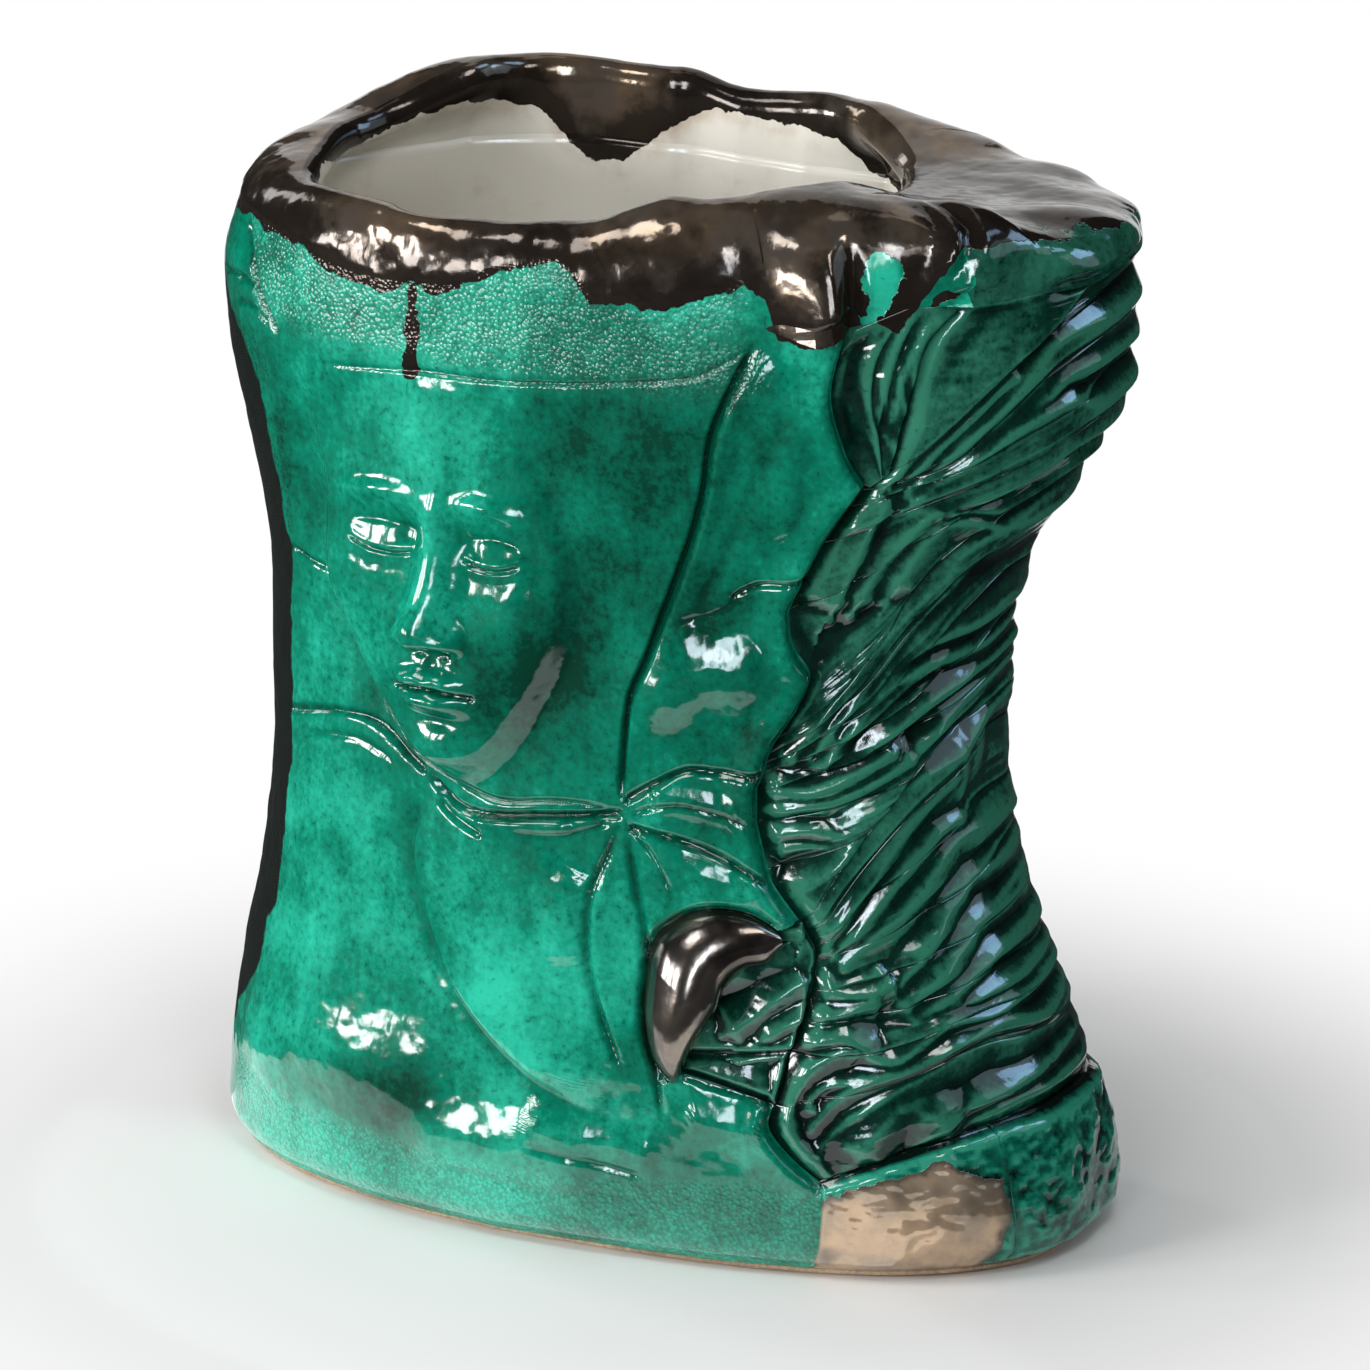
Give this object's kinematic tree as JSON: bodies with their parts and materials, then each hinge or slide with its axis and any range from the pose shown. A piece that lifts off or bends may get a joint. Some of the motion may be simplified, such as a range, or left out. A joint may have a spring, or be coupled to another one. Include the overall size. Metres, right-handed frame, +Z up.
{
  "type": "ceramic sculpture vase",
  "caption": "Tall oval hand-built vase with a veiled head in relief, fans of gathered drapery folds, a rolled lustre lip and a flat foot.",
  "frame": {"origin": "centre of the flat underside, on the surface that the vase stands on", "axes": "+Z up, out of the mouth; +X to the vase's right as seen from the front, towards the pleated wing; the face looks towards -Y"},
  "size_m": [0.2826, 0.1511, 0.325],
  "materials": {
    "green_glaze": "glossy mottled emerald glaze",
    "deep_green_glaze": "glossy dark green glaze, pooled in the folds",
    "lustre_glaze": "brown metallic lustre over cream glaze",
    "gunmetal_lustre": "mirror-like gunmetal lustre",
    "black_glaze": "glossy black lustre glaze",
    "cream_glaze": "glossy cream glaze with brown runs",
    "tan_lustre": "speckled pinkish tan lustre",
    "bare_clay": "unglazed buff earthenware"
  },
  "bodies": {
    "root": {"apron_right": "green_glaze", "back_left": "black_glaze", "back_panel": "black_glaze", "base_slab": "bare_clay", "chest_left": "green_glaze", "chest_right": "green_glaze", "corner_fold": "deep_green_glaze", "face_relief": "green_glaze", "head_band": "green_glaze", "left_corner_fold": "green_glaze", "left_shoulder": "green_glaze", "lip_fold": "lustre_glaze", "lower_pleat_1": "deep_green_glaze", "lower_pleat_2": "deep_green_glaze", "lower_pleat_3": "deep_green_glaze", "lower_pleat_4": "deep_green_glaze", "lower_pleat_5": "deep_green_glaze", "lower_pleat_6": "deep_green_glaze", "lower_pleat_7": "deep_green_glaze", "lower_pleat_8": "deep_green_glaze", "lustre_curl": "gunmetal_lustre", "rim_roll": "lustre_glaze", "sash_lower": "deep_green_glaze", "sash_upper": "deep_green_glaze", "shoulder_fold": "green_glaze", "skirt_front": "green_glaze", "toe_corner": "deep_green_glaze", "toe_patch": "tan_lustre", "tuck_1": "deep_green_glaze", "tuck_2": "deep_green_glaze", "tuck_3": "deep_green_glaze", "upper_pleat_1": "deep_green_glaze", "upper_pleat_2": "deep_green_glaze", "upper_pleat_3": "deep_green_glaze", "upper_pleat_4": "deep_green_glaze", "upper_pleat_5": "deep_green_glaze", "upper_pleat_6": "deep_green_glaze", "upper_pleat_7": "deep_green_glaze", "upper_pleat_8": "deep_green_glaze", "upper_pleat_9": "deep_green_glaze", "veil_left": "green_glaze", "veil_right": "green_glaze", "vessel_wall": "cream_glaze", "wing_panel": "deep_green_glaze", "wing_shelf": "lustre_glaze"}
  },
  "joints": []
}
